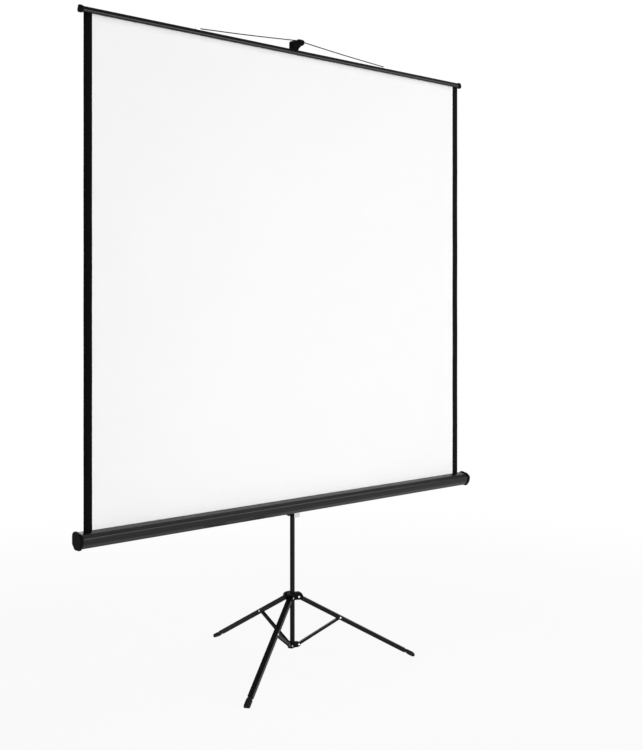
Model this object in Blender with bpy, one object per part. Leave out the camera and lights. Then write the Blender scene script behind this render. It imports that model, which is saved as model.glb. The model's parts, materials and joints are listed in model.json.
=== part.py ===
"""Pull-up projection screen on a folding tripod: metres, +Z up, the cloth faces -Y."""

import math

import bmesh
import bpy
from mathutils import Matrix, Vector

# Gaps between pieces
SEAT = 0.0003
RUN = 0.0004

# Mast and its extension
MAST_RADIUS = 0.010
MAST_WALL = 0.0015
MAST_TOP = 1.400
EXTENSION_RADIUS = 0.008
EXTENSION_WALL = 0.0012
EXTENSION_OVERLAP = 0.180
TUBE_SIDES = 28

# Tripod
LEG_ANGLE = math.radians(60.9)
LEG_LENGTH = 0.530
LEG_WIDTH = 0.021
LEG_DEPTH = 0.017
LEG_WALL = 0.0014
BRACE_LENGTH = 0.2046
BRACE_WIDTH = 0.0124
BRACE_DEPTH = 0.0105
BRACE_WALL = 0.0012
PIVOT_RADIUS = 0.026
RIVET_RADIUS = 0.0025
RIVET_HEAD_RADIUS = 0.0045
RIVET_HEAD_HEIGHT = 0.0016
LEG_NAMES = {"rear": 90, "left": 210, "right": 330}

# Rubber feet
FOOT_AXIS_HEIGHT = 0.0265
FOOT_NECK = 0.009
FOOT_LENGTH = 0.036
FOOT_WIDTH = 0.0215
FOOT_RISE = 0.008
FOOT_PLUG = 0.028

# Tripod hub and mast foot
HUB_COLLAR_RADIUS = 0.018
HUB_ARM_RADIUS = 0.046
HUB_EAR = 0.003
HUB_DROP = 0.012
HUB_RISE = 0.017
HUB_ROOF = 0.0055
MAST_FOOT_COLLAR_RADIUS = 0.0145
MAST_FOOT_ARM_RADIUS = 0.034
MAST_FOOT_EAR = 0.0026
MAST_FOOT_DROP = 0.012
MAST_FOOT_RISE = 0.009
MAST_FOOT_FLOOR = 0.0045
HUB_SLOT_START = 0.0165
MAST_FOOT_SLOT_START = 0.0185

# Thumb screws
HUB_SCREW_ANGLE = math.radians(150)
HUB_SCREW_RADIUS = 0.0021
HUB_SCREW_LIFT = 0.007
HUB_KNOB_RADIUS = 0.007
HUB_KNOB_START = 0.0235
CLAMP_SCREW_RADIUS = 0.0028
CLAMP_KNOB_RADIUS = 0.0105
KNOB_LENGTH = 0.010
KNOB_LOBES = 6
KNOB_LOBE_DEPTH = 0.0009

# Clamp collar on the mast's top
CLAMP_RADIUS = 0.016
CLAMP_SKIRT = 0.030
CLAMP_LIP = 0.012
CLAMP_BOSS_RADIUS = 0.0065
CLAMP_BOSS_REACH = 0.024

# Screen cloth
CLOTH_WIDTH = 2.030
CLOTH_BORDER = 0.035
CLOTH_HEIGHT = 1.840
CLOTH_THICKNESS = 0.0005
CLOTH_OFFSET = 0.037
ROLL_RADIUS = 0.016
ROLL_TURNS = 1.25
ROLL_PITCH = 0.001

# Case
CASE_TOP = 0.703
CASE_MARGIN = 0.025
CASE_HALF_DEPTH = 0.028
CASE_RISE = 0.031
CASE_DROP = 0.026
CASE_WALL = 0.0012
CASE_SLOT = 0.005
CASE_SHOULDER = 0.006
CASE_RIDGE = 0.017
CASE_WAIST = 0.041
CASE_FRONT = 0.011
CASE_TUCK = 0.0035
CASE_BASE_HALF = 0.012
CASE_ROUND = 0.009
CAP_LENGTH = 0.013
CAP_LIP = 0.004
CAP_ROUND = 0.008
CAP_PLUG = 0.012
CAP_PLUG_WALL = 0.002
CAP_BOSS_RADIUS = 0.009

# Roller inside the case
ROLLER_MARGIN = 0.001
ROLLER_RADIUS = 0.014
ROLLER_WALL = 0.001
ROLLER_PLUG = 0.020
ROLLER_FLANGE = 0.004
ARBOR_RADIUS = 0.003
ARBOR_LENGTH = 0.430
ARBOR_DISC_RADIUS = 0.010
ARBOR_DISC = 0.004
IDLER_RADIUS = 0.004
SPRING_RADIUS = 0.0085
SPRING_WIRE = 0.0009
SPRING_TURNS = 12

# Carrier, saddle and release lever
CARRIER_HALF_WIDTH = 0.017
CARRIER_HALF_DEPTH = 0.0155
CARRIER_RISE = 0.028
CARRIER_DROP = 0.050
LEVER_PIVOT_X = 0.025
LEVER_PIVOT_DROP = 0.032
LEVER_THICKNESS = 0.009
LEVER_REACH = 0.037
LEVER_LUG = 0.0042
LEVER_PIN_RADIUS = 0.002
SADDLE_THICKNESS = 0.0025
SADDLE_HALF_HEIGHT = 0.020
SADDLE_HALF_WIDTH = 0.062
SADDLE_FLAT = 0.016
SADDLE_RIVET_X = 0.045
SADDLE_TAB_LEFT = 0.004
SADDLE_TAB_RIGHT = 0.025
SADDLE_TAB_DROP = 0.056
BOLT_RADIUS = 0.004
BOLT_HEAD_RADIUS = 0.008
BOLT_HEAD = 0.0026

# Top bar
BAR_MARGIN = 0.003
BAR_HALF_DEPTH = 0.0076
BAR_HEIGHT = 0.021
BAR_WALL = 0.0013
BAR_SLOT = 0.0018
BAR_LIP_HALF = 0.0046
BAR_LIP_HEIGHT = 0.0048
BAR_SHOULDER_HEIGHT = 0.0084
BAR_TOP_HALF = 0.0031
BAR_CROWN_HEIGHT = 0.0172
BAR_CROWN_HALF = 0.0044
BAR_CAP_LENGTH = 0.017
BAR_CAP_LIP = 0.0028
BAR_PLUG = 0.012
CLOTH_ROD_RADIUS = 0.0033
CLOTH_ROD_HEIGHT = 0.0098

# Hook, cord lugs and hanging cord
HOOK_HALF_WIDTH = 0.009
HOOK_BASE_RADIUS = 0.0135
HOOK_HEIGHT = 0.044
HOOK_SKIRT = 0.018
HOOK_REACH = 0.068
HOOK_NOTCH_DEPTH = 0.0065
HOOK_NOTCH_WIDTH = 0.005
HOOK_ROOF = 0.005
LUG_X = 0.515
LUG_LENGTH = 0.018
LUG_WIDTH = 0.007
LUG_HEIGHT = 0.0085
LUG_HOLE_HEIGHT = 0.005
LUG_HOLE_DEPTH = 0.008
CORD_RADIUS = 0.0016
CORD_SAG = 0.002

# Places that follow from the sizes above
LEG_OUT, LEG_DOWN = math.sin(LEG_ANGLE), math.cos(LEG_ANGLE)
LEG_TILT = math.pi / 2 - LEG_ANGLE
HUB_PIVOT_Z = FOOT_AXIS_HEIGHT + LEG_LENGTH * LEG_DOWN
FOOT_PIVOT_Z = HUB_PIVOT_Z - 2 * BRACE_LENGTH * LEG_DOWN
LINK_REACH = BRACE_LENGTH * LEG_OUT
LINK_RISE = BRACE_LENGTH * LEG_DOWN
ROLLER_Y = -CLOTH_OFFSET - ROLL_RADIUS
ROLLER_Z = CASE_TOP - CASE_RISE
BAR_Z = CASE_TOP + CLOTH_HEIGHT
BAR_TOP_Z = BAR_Z + BAR_HEIGHT
HOOK_TOP_Z = BAR_TOP_Z + HOOK_HEIGHT
CORD_TOP_Z = HOOK_TOP_Z - HOOK_NOTCH_DEPTH + CORD_RADIUS + SEAT
SADDLE_BACK_Y = -CARRIER_HALF_DEPTH - RUN
SADDLE_FLANGE_Y = ROLLER_Y + CASE_HALF_DEPTH + SEAT
CASE_HALF_LENGTH = CLOTH_WIDTH / 2 + CASE_MARGIN
BAR_HALF_LENGTH = CLOTH_WIDTH / 2 + BAR_MARGIN
ROLLER_END = CLOTH_WIDTH / 2 + ROLLER_MARGIN
CAP_START = CASE_HALF_LENGTH + SEAT


def material(name, colour, roughness, metallic=0.0):
    made = bpy.data.materials.new(name)
    made.use_nodes = True
    shader = made.node_tree.nodes["Principled BSDF"]
    shader.inputs["Base Color"].default_value = (*colour, 1.0)
    shader.inputs["Roughness"].default_value = roughness
    shader.inputs["Metallic"].default_value = metallic
    made.diffuse_color = (*colour, 1.0)
    return made


def empty(name, parent=None, location=(0, 0, 0), turn=0.0):
    made = bpy.data.objects.new(name, None)
    made.empty_display_size = 0.03
    made.parent = parent
    made.location = location
    made.rotation_euler = (0, 0, turn)
    bpy.context.scene.collection.objects.link(made)
    return made


def add(name, shape, finish, parent, location=(0, 0, 0), rotation=(0, 0, 0), smooth=False):
    mesh = bpy.data.meshes.new(name)
    shape.to_mesh(mesh)
    shape.free()
    if smooth:
        mesh.shade_smooth()
        mesh.set_sharp_from_angle(angle=math.radians(35))
    made = bpy.data.objects.new(name, mesh)
    for each in finish if isinstance(finish, list) else [finish]:
        mesh.materials.append(each)
    made.parent = parent
    made.location = location
    made.rotation_euler = rotation
    bpy.context.scene.collection.objects.link(made)
    return made


def helper(name, shape, parent, location=(0, 0, 0), rotation=(0, 0, 0)):
    made = add(name, shape, [], parent, location, rotation)
    made.hide_render = True
    made.display_type = "WIRE"
    return made


def combine(target, tool, operation="DIFFERENCE"):
    step = target.modifiers.new(tool.name, "BOOLEAN")
    step.operation = operation
    step.solver = "EXACT"
    step.object = tool


def prism(outline, low, high, along):
    """A flat outline drawn in the two other axes and extruded from low to high along one axis."""
    place = {
        "X": lambda a, b: (low, a, b),
        "Y": lambda a, b: (a, low, b),
        "Z": lambda a, b: (a, b, low),
    }[along]
    step = {"X": (high - low, 0, 0), "Y": (0, high - low, 0), "Z": (0, 0, high - low)}[along]
    shape = bmesh.new()
    face = shape.faces.new([shape.verts.new(place(a, b)) for a, b in outline])
    grown = bmesh.ops.extrude_face_region(shape, geom=[face])["geom"]
    moved = [item for item in grown if isinstance(item, bmesh.types.BMVert)]
    bmesh.ops.translate(shape, verts=moved, vec=step)
    bmesh.ops.recalc_face_normals(shape, faces=shape.faces)
    return shape


def block(low, high):
    corners = [(low[0], low[1]), (high[0], low[1]), (high[0], high[1]), (low[0], high[1])]
    return prism(corners, low[2], high[2], "Z")


def turned(profile, sides):
    """A profile of (radius, height) turned about Z: a ring, or a line that starts and ends on the axis."""
    shape = bmesh.new()
    verts = [shape.verts.new((radius, 0, height)) for radius, height in profile]
    edges = [shape.edges.new(pair) for pair in zip(verts, verts[1:])]
    if profile[0][0] > 0:
        edges.append(shape.edges.new((verts[-1], verts[0])))
    bmesh.ops.spin(
        shape,
        geom=verts + edges,
        axis=(0, 0, 1),
        cent=(0, 0, 0),
        angle=2 * math.pi,
        steps=sides,
        use_merge=True,
    )
    bmesh.ops.remove_doubles(shape, verts=shape.verts, dist=1e-6)
    bmesh.ops.recalc_face_normals(shape, faces=shape.faces)
    return shape


def rod(radius, low, high, sides=16):
    return turned([(0, low), (radius, low), (radius, high), (0, high)], sides)


def tube(outer, inner, low, high, sides=TUBE_SIDES):
    return turned([(inner, low), (outer, low), (outer, high), (inner, high)], sides)


def joined(shapes):
    """Separate closed shapes held in one mesh, for a cutter that cuts in several places."""
    whole = bmesh.new()
    for shape in shapes:
        mesh = bpy.data.meshes.new("piece")
        shape.to_mesh(mesh)
        shape.free()
        whole.from_mesh(mesh)
        bpy.data.meshes.remove(mesh)
    return whole


def placed(shape, location=(0, 0, 0), axis="Z", turn=0.0):
    """Moves a shape made about Z so that it lies along an axis, turned about Z and shifted."""
    lay = {
        "X": Matrix.Rotation(math.pi / 2, 4, "Y"),
        "Y": Matrix.Rotation(-math.pi / 2, 4, "X"),
        "Z": Matrix(),
    }[axis]
    whole = Matrix.Rotation(turn, 4, "Z") @ Matrix.Translation(location) @ lay
    bmesh.ops.transform(shape, matrix=whole, verts=shape.verts)
    return shape


def rounded(points, radius, steps=3, closed=True):
    """The outline with each corner replaced by an arc, limited by its shorter side."""
    count = len(points)
    made = []
    for i, (x, y) in enumerate(points):
        if not closed and i in (0, count - 1):
            made.append((x, y))
            continue
        here = Vector((x, y))
        back = Vector(points[i - 1]) - here
        ahead = Vector(points[(i + 1) % count]) - here
        half = back.angle(ahead) / 2
        if half > math.radians(89):
            made.append((x, y))
            continue
        run = min(radius / math.tan(half), 0.45 * back.length, 0.45 * ahead.length)
        start, end = here + back.normalized() * run, here + ahead.normalized() * run
        for k in range(steps + 1):
            t = k / steps
            point = start * (1 - t) ** 2 + here * 2 * t * (1 - t) + end * t**2
            made.append((point.x, point.y))
    return made


def offset(points, distance, closed=True):
    """The line moved sideways by a distance, to the left of its direction."""
    count = len(points)
    made = []
    for i in range(count):
        here = Vector(points[i])
        before = Vector(points[i - 1]) if closed or i else None
        after = Vector(points[(i + 1) % count]) if closed or i < count - 1 else None
        sides = []
        for a, b in ((before, here), (here, after)):
            if a is not None and b is not None:
                along = (b - a).normalized()
                sides.append(Vector((-along.y, along.x)))
        middle = (sides[0] + sides[-1]).normalized()
        point = here + middle * distance / middle.dot(sides[0])
        made.append((point.x, point.y))
    return made


def arc(radius, first, last, steps):
    angles = [first + (last - first) * k / steps for k in range(steps + 1)]
    return [(radius * math.cos(a), radius * math.sin(a)) for a in angles]


def channel(first, last, width, depth, wall, square_end):
    """A bar along X with a half-round start, and its channel cutter, open below."""
    radius = depth / 2
    outline = [(first + x, y) for x, y in arc(radius, math.pi / 2, 3 * math.pi / 2, 8)]
    if square_end:
        outline += [(last, -radius), (last, radius)]
    else:
        outline += [(last + x, y) for x, y in arc(radius, -math.pi / 2, math.pi / 2, 8)]
    bar = prism(outline, -width / 2, width / 2, "Y")
    pocket = block(
        (first - depth, wall - width / 2, -depth), (last + depth, width / 2 - wall, radius - wall)
    )
    return bar, pocket


def star(collar, half_width, reach, low, high):
    """A round collar with three flat-sided arms."""
    outline = []
    corner = math.asin(half_width / collar)
    for degrees in LEG_NAMES.values():
        a = math.radians(degrees)
        out, side = Vector((math.cos(a), math.sin(a))), Vector((-math.sin(a), math.cos(a)))
        outline += [(out * reach - side * half_width)[:], (out * reach + side * half_width)[:]]
        outline += arc(collar, a + corner, a + math.radians(120) - corner, 4)
    return prism(outline, low, high, "Z")


def rivet(reach, sides=10):
    """A pin along Y with a head on each side, reach being half the grip."""
    head = reach + RIVET_HEAD_HEIGHT
    profile = [
        (0, -head),
        (RIVET_HEAD_RADIUS * 0.7, -head),
        (RIVET_HEAD_RADIUS, -head + RIVET_HEAD_HEIGHT * 0.5),
        (RIVET_HEAD_RADIUS, -reach),
        (RIVET_RADIUS, -reach),
        (RIVET_RADIUS, reach),
        (RIVET_HEAD_RADIUS, reach),
        (RIVET_HEAD_RADIUS, head - RIVET_HEAD_HEIGHT * 0.5),
        (RIVET_HEAD_RADIUS * 0.7, head),
        (0, head),
    ]
    return placed(turned(profile, sides), axis="Y")


def thumb_screw(shank, start, knob_start, knob_radius):
    """A screw along X from start, with a lobed knob from knob_start outward."""
    steps = KNOB_LOBES * 6
    outline = []
    for k in range(steps):
        a = 2 * math.pi * k / steps
        r = knob_radius + KNOB_LOBE_DEPTH * math.cos(KNOB_LOBES * a)
        outline.append((r * math.cos(a), r * math.sin(a)))
    knob = prism(outline, knob_start, knob_start + KNOB_LENGTH, "X")
    stem = placed(rod(shank, start, knob_start + KNOB_LENGTH / 2, 14), axis="X")
    return knob, stem


def case_line():
    """The case's line about the roller axis, from the rear lip round the bottom to the front lip."""
    slot_rear = ROLL_RADIUS + CASE_SLOT / 2
    slot_front = ROLL_RADIUS - CASE_SLOT / 2
    ridge = CASE_RISE - CASE_RIDGE
    return [
        (slot_rear, CASE_RISE),
        (CASE_HALF_DEPTH - 0.002, CASE_RISE - CASE_SHOULDER),
        (CASE_HALF_DEPTH, ridge),
        (CASE_HALF_DEPTH - 0.001, CASE_RISE - CASE_WAIST),
        (CASE_BASE_HALF, -CASE_DROP),
        (-CASE_BASE_HALF, -CASE_DROP),
        (-CASE_HALF_DEPTH + CASE_TUCK, CASE_RISE - CASE_WAIST),
        (-CASE_HALF_DEPTH, ridge - CASE_FRONT),
        (-CASE_HALF_DEPTH, ridge),
        (-CASE_HALF_DEPTH / 2, CASE_RISE - CASE_SHOULDER),
        (slot_front, CASE_RISE),
    ]


def bar_line():
    """The top bar's line about the cloth, from one lip over the crown to the other."""
    half = [
        (BAR_SLOT / 2, 0),
        (BAR_LIP_HALF, 0),
        (BAR_HALF_DEPTH, BAR_LIP_HEIGHT),
        (BAR_HALF_DEPTH, BAR_SHOULDER_HEIGHT),
        (BAR_CROWN_HALF, BAR_CROWN_HEIGHT),
        (BAR_TOP_HALF, BAR_HEIGHT),
    ]
    return half + [(-x, z) for x, z in reversed(half)]


def build_mast(stand, steel, plastic):
    foot_top = FOOT_PIVOT_Z - MAST_FOOT_DROP + MAST_FOOT_FLOOR
    mast = add(
        "mast_tube",
        tube(MAST_RADIUS, MAST_RADIUS - MAST_WALL, foot_top + SEAT, MAST_TOP),
        steel,
        stand,
        smooth=True,
    )
    screw_z = MAST_TOP - CLAMP_SKIRT / 2
    hole = rod(CLAMP_SCREW_RADIUS + SEAT, 0, CLAMP_BOSS_REACH + 0.005)
    combine(mast, helper("mast_screw_hole", placed(hole, (0, 0, screw_z), "Y"), stand))

    foot = add(
        "mast_foot",
        star(
            MAST_FOOT_COLLAR_RADIUS,
            BRACE_WIDTH / 2 + RUN + MAST_FOOT_EAR,
            MAST_FOOT_ARM_RADIUS + 0.002,
            FOOT_PIVOT_Z - MAST_FOOT_DROP,
            FOOT_PIVOT_Z + MAST_FOOT_RISE,
        ),
        plastic,
        stand,
    )
    dome = [
        (0, -MAST_FOOT_DROP - 0.001),
        (MAST_FOOT_ARM_RADIUS - 0.012, -MAST_FOOT_DROP - 0.001),
        (MAST_FOOT_ARM_RADIUS, -MAST_FOOT_DROP / 2),
        (MAST_FOOT_ARM_RADIUS, MAST_FOOT_RISE / 3),
        (MAST_FOOT_ARM_RADIUS - 0.010, MAST_FOOT_RISE),
        (MAST_FOOT_COLLAR_RADIUS + 0.004, MAST_FOOT_RISE + 0.001),
        (0, MAST_FOOT_RISE + 0.001),
    ]
    combine(foot, helper("mast_foot_round", turned(dome, 36), stand, (0, 0, FOOT_PIVOT_Z)), "INTERSECT")
    half = BRACE_WIDTH / 2 + RUN
    floor = MAST_FOOT_FLOOR - MAST_FOOT_DROP
    cuts = [
        placed(
            block((MAST_FOOT_SLOT_START, -half, floor), (0.1, half, 0.1)), turn=math.radians(degrees)
        )
        for degrees in LEG_NAMES.values()
    ]
    cuts.append(rod(MAST_RADIUS + SEAT, floor, 0.1, TUBE_SIDES))
    combine(foot, helper("mast_foot_slots", joined(cuts), stand, (0, 0, FOOT_PIVOT_Z)))
    combine(foot, helper("mast_foot_holes", pin_holes(), stand, (0, 0, FOOT_PIVOT_Z)))
    build_clamp(stand, plastic, screw_z)


def pin_holes():
    return joined(
        [
            placed(
                placed(rod(RIVET_RADIUS + SEAT, -0.02, 0.02, 12), (PIVOT_RADIUS, 0, 0), "Y"),
                turn=math.radians(degrees),
            )
            for degrees in LEG_NAMES.values()
        ]
    )


def build_clamp(stand, plastic, screw_z):
    bore, neck = MAST_RADIUS + SEAT, EXTENSION_RADIUS + RUN
    low, top = MAST_TOP - CLAMP_SKIRT, MAST_TOP + CLAMP_LIP
    clamp = add(
        "clamp_collar",
        turned(
            [
                (bore, low),
                (CLAMP_RADIUS - 0.001, low),
                (CLAMP_RADIUS, low + 0.002),
                (CLAMP_RADIUS, top - 0.004),
                (CLAMP_RADIUS - 0.003, top),
                (neck, top),
                (neck, MAST_TOP + SEAT),
                (bore, MAST_TOP + SEAT),
            ],
            TUBE_SIDES,
        ),
        plastic,
        stand,
        smooth=True,
    )
    boss = placed(rod(CLAMP_BOSS_RADIUS, bore + 0.001, CLAMP_BOSS_REACH, 20), (0, 0, screw_z), "Y")
    combine(clamp, helper("clamp_boss", boss, stand), "UNION")
    hole = rod(CLAMP_SCREW_RADIUS + SEAT, 0, CLAMP_BOSS_REACH + 0.005)
    combine(clamp, helper("clamp_hole", placed(hole, (0, 0, screw_z), "Y"), stand))
    knob, stem = thumb_screw(
        CLAMP_SCREW_RADIUS, EXTENSION_RADIUS + RUN, CLAMP_BOSS_REACH + SEAT, CLAMP_KNOB_RADIUS
    )
    pivot = empty("clamp_screw_pivot", stand, (0, 0, screw_z), math.pi / 2)
    screw = add("clamp_screw", knob, plastic, pivot)
    combine(screw, helper("clamp_screw_stem", stem, pivot), "UNION")


def build_tripod(stand, steel, plastic, rubber, bright):
    hub_pivot = None
    for name, degrees in LEG_NAMES.items():
        arm = empty(f"arm_{name}", stand, turn=math.radians(degrees))
        brace_pivot = empty(f"brace_{name}_pivot", arm, (PIVOT_RADIUS, 0, FOOT_PIVOT_Z))
        leg_pivot = empty(f"leg_{name}_pivot", brace_pivot, (LINK_REACH, 0, LINK_RISE))

        bar, pocket = channel(0, BRACE_LENGTH, BRACE_WIDTH, BRACE_DEPTH, BRACE_WALL, False)
        tilt = (0, -LEG_TILT, 0)
        brace = add(f"brace_{name}", bar, steel, brace_pivot, rotation=tilt)
        combine(brace, helper(f"brace_{name}_pocket", pocket, brace_pivot, rotation=tilt))
        holes = [
            placed(rod(RIVET_RADIUS + SEAT, -0.02, 0.02, 12), (x, 0, 0), "Y") for x in (0, BRACE_LENGTH)
        ]
        combine(brace, helper(f"brace_{name}_holes", joined(holes), brace_pivot, rotation=tilt))

        tilt = (0, LEG_TILT, 0)
        start, end = -BRACE_LENGTH, LEG_LENGTH - BRACE_LENGTH
        bar, pocket = channel(start, end, LEG_WIDTH, LEG_DEPTH, LEG_WALL, True)
        leg = add(f"leg_{name}", bar, steel, leg_pivot, rotation=tilt)
        combine(leg, helper(f"leg_{name}_pocket", pocket, leg_pivot, rotation=tilt))
        holes = [placed(rod(RIVET_RADIUS + SEAT, -0.02, 0.02, 12), (x, 0, 0), "Y") for x in (0, start)]
        combine(leg, helper(f"leg_{name}_holes", joined(holes), leg_pivot, rotation=tilt))
        build_foot(name, leg_pivot, rubber)

        grip = BRACE_WIDTH / 2 + RUN + MAST_FOOT_EAR + SEAT
        add(f"foot_rivet_{name}", rivet(grip), bright, arm, (PIVOT_RADIUS, 0, FOOT_PIVOT_Z), smooth=True)
        add(f"leg_rivet_{name}", rivet(LEG_WIDTH / 2 + SEAT), bright, leg_pivot, smooth=True)
        hub_at = (-LINK_REACH, 0, LINK_RISE)
        pivot = empty(f"hub_{name}_pivot", leg_pivot, hub_at)
        hub_pivot = hub_pivot or pivot
        grip = LEG_WIDTH / 2 + RUN + HUB_EAR + SEAT
        add(f"hub_rivet_{name}", rivet(grip), bright, leg_pivot, hub_at, smooth=True)
    build_hub(stand, hub_pivot, plastic)


def build_foot(name, leg_pivot, rubber):
    """A rubber foot drawn in the leg's upright plane: a shoe with a flat sole and a plug in the channel."""
    reach = LEG_LENGTH - BRACE_LENGTH

    def along(distance, rise):
        out = (reach + distance) * LEG_OUT + rise * LEG_DOWN
        up = -(reach + distance) * LEG_DOWN + rise * LEG_OUT
        return out, up

    sole = -(HUB_PIVOT_Z - LINK_RISE)
    landing = (FOOT_AXIS_HEIGHT - FOOT_RISE * LEG_OUT) / LEG_DOWN
    heel, toe = along(landing, -FOOT_RISE), along(FOOT_NECK + FOOT_LENGTH, FOOT_RISE)
    outline = [
        along(FOOT_NECK, FOOT_RISE * 0.9),
        along(FOOT_NECK + FOOT_LENGTH / 4, FOOT_RISE),
        toe,
        (toe[0] - 0.001, sole),
        (heel[0], sole),
        along(FOOT_NECK + FOOT_LENGTH / 4, -FOOT_RISE),
        along(FOOT_NECK, -FOOT_RISE * 0.8),
    ]
    foot = add(
        f"foot_{name}",
        prism(rounded(outline, 0.003, 2), -FOOT_WIDTH / 2, FOOT_WIDTH / 2, "Y"),
        rubber,
        leg_pivot,
    )
    half = LEG_WIDTH / 2 - LEG_WALL - RUN
    plug = block(
        (reach - FOOT_PLUG, -half, -LEG_DEPTH / 3),
        (reach + FOOT_NECK + FOOT_LENGTH / 4, half, LEG_DEPTH / 2 - LEG_WALL - RUN),
    )
    combine(foot, helper(f"foot_{name}_plug", plug, leg_pivot, rotation=(0, LEG_TILT, 0)), "UNION")


def build_hub(stand, pivot, plastic):
    half = LEG_WIDTH / 2 + RUN
    turn = -math.radians(LEG_NAMES["rear"])
    hub_frame = empty("hub_frame", pivot, (-PIVOT_RADIUS, 0, 0), turn)
    hub = add(
        "tripod_hub",
        star(HUB_COLLAR_RADIUS, half + HUB_EAR, HUB_ARM_RADIUS + 0.002, -HUB_DROP, HUB_RISE),
        plastic,
        hub_frame,
    )
    dome = [
        (0, -HUB_DROP - 0.001),
        (HUB_ARM_RADIUS - 0.009, -HUB_DROP - 0.001),
        (HUB_ARM_RADIUS, -HUB_DROP / 3),
        (HUB_ARM_RADIUS, HUB_RISE / 4),
        (HUB_ARM_RADIUS - 0.004, HUB_RISE * 0.65),
        (HUB_ARM_RADIUS - 0.013, HUB_RISE),
        (HUB_COLLAR_RADIUS + 0.004, HUB_RISE + 0.001),
        (0, HUB_RISE + 0.001),
    ]
    combine(hub, helper("tripod_hub_round", turned(dome, 48), hub_frame), "INTERSECT")
    cuts = [
        placed(
            block((HUB_SLOT_START, -half, -0.1), (0.1, half, HUB_RISE - HUB_ROOF)),
            turn=math.radians(degrees),
        )
        for degrees in LEG_NAMES.values()
    ]
    cuts.append(rod(MAST_RADIUS + RUN, -0.1, 0.1, TUBE_SIDES))
    combine(hub, helper("tripod_hub_slots", joined(cuts), hub_frame))
    hole = placed(rod(HUB_SCREW_RADIUS + SEAT, 0.002, 0.05, 14), (0, 0, HUB_SCREW_LIFT), "X")
    bmesh.ops.translate(hole, verts=hole.verts, vec=(MAST_RADIUS / 2, 0, 0))
    holes = joined([pin_holes(), placed(hole, turn=HUB_SCREW_ANGLE)])
    combine(hub, helper("tripod_hub_holes", holes, hub_frame))
    knob, stem = thumb_screw(HUB_SCREW_RADIUS, MAST_RADIUS + SEAT, HUB_KNOB_START, HUB_KNOB_RADIUS)
    screw_pivot = empty("hub_screw_pivot", hub_frame, (0, 0, HUB_SCREW_LIFT), HUB_SCREW_ANGLE)
    screw = add("hub_screw", knob, plastic, screw_pivot)
    combine(screw, helper("hub_screw_stem", stem, screw_pivot), "UNION")


def build_carrier(carrier_frame, plastic, bright):
    pivot_z = -LEVER_PIVOT_DROP
    outline = rounded(
        [
            (-CARRIER_HALF_WIDTH, -CARRIER_HALF_DEPTH),
            (CARRIER_HALF_WIDTH, -CARRIER_HALF_DEPTH),
            (CARRIER_HALF_WIDTH, CARRIER_HALF_DEPTH),
            (-CARRIER_HALF_WIDTH, CARRIER_HALF_DEPTH),
        ],
        0.005,
    )
    carrier = add("case_carrier", prism(outline, -CARRIER_DROP, CARRIER_RISE, "Z"), plastic, carrier_frame)
    half = LEVER_THICKNESS / 2 + RUN
    lug = rounded(
        [
            (-LEVER_PIVOT_X - 0.009, pivot_z - 0.008),
            (-CARRIER_HALF_WIDTH / 2, pivot_z - 0.014),
            (-CARRIER_HALF_WIDTH / 2, pivot_z + 0.014),
            (-LEVER_PIVOT_X - 0.009, pivot_z + 0.008),
        ],
        0.006,
    )
    combine(
        carrier,
        helper("carrier_lugs", prism(lug, -half - LEVER_LUG, half + LEVER_LUG, "Y"), carrier_frame),
        "UNION",
    )
    combine(
        carrier,
        helper("carrier_bore", rod(MAST_RADIUS + RUN, -0.1, 0.1, TUBE_SIDES), carrier_frame),
    )
    slot = block((-0.08, -half, pivot_z - 0.05), (-MAST_RADIUS / 2, half, pivot_z + 0.0095))
    combine(carrier, helper("carrier_slot", slot, carrier_frame))
    pin_at = (-LEVER_PIVOT_X, 0, pivot_z)
    holes = joined(
        [
            placed(rod(LEVER_PIN_RADIUS + SEAT, -0.03, 0.03, 12), pin_at, "Y"),
            placed(rod(BOLT_RADIUS + SEAT, -0.05, -MAST_RADIUS - RUN - 0.0008, 18), (0, 0, 0), "Y"),
        ]
    )
    combine(carrier, helper("carrier_holes", holes, carrier_frame))

    lever_pivot = empty("lever_pivot", carrier_frame, pin_at)
    nose = LEVER_PIVOT_X - MAST_RADIUS - 0.001
    outline = [
        (-LEVER_REACH, -0.001),
        (-0.010, -0.010),
        (0.002, -0.013),
        (nose - 0.003, -0.010),
        (nose, -0.005),
        (nose - 0.0006, 0.001),
        (0.006, 0.0065),
        (-0.010, 0.008),
        (-LEVER_REACH + 0.001, 0.005),
    ]
    lever = add(
        "release_lever",
        prism(rounded(outline, 0.002, 2), -LEVER_THICKNESS / 2, LEVER_THICKNESS / 2, "Y"),
        plastic,
        lever_pivot,
    )
    hole = placed(rod(LEVER_PIN_RADIUS + SEAT, -0.03, 0.03, 12), axis="Y")
    combine(lever, helper("release_lever_hole", hole, lever_pivot))
    reach = half + LEVER_LUG + SEAT
    pin = turned(
        [
            (0, -reach - 0.001),
            (LEVER_PIN_RADIUS + 0.0012, -reach - 0.001),
            (LEVER_PIN_RADIUS + 0.0012, -reach),
            (LEVER_PIN_RADIUS, -reach),
            (LEVER_PIN_RADIUS, reach + 0.0006),
            (0, reach + 0.0006),
        ],
        12,
    )
    add("lever_pin", placed(pin, axis="Y"), bright, carrier_frame, pin_at, smooth=True)
    build_saddle(carrier_frame, bright)


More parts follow.
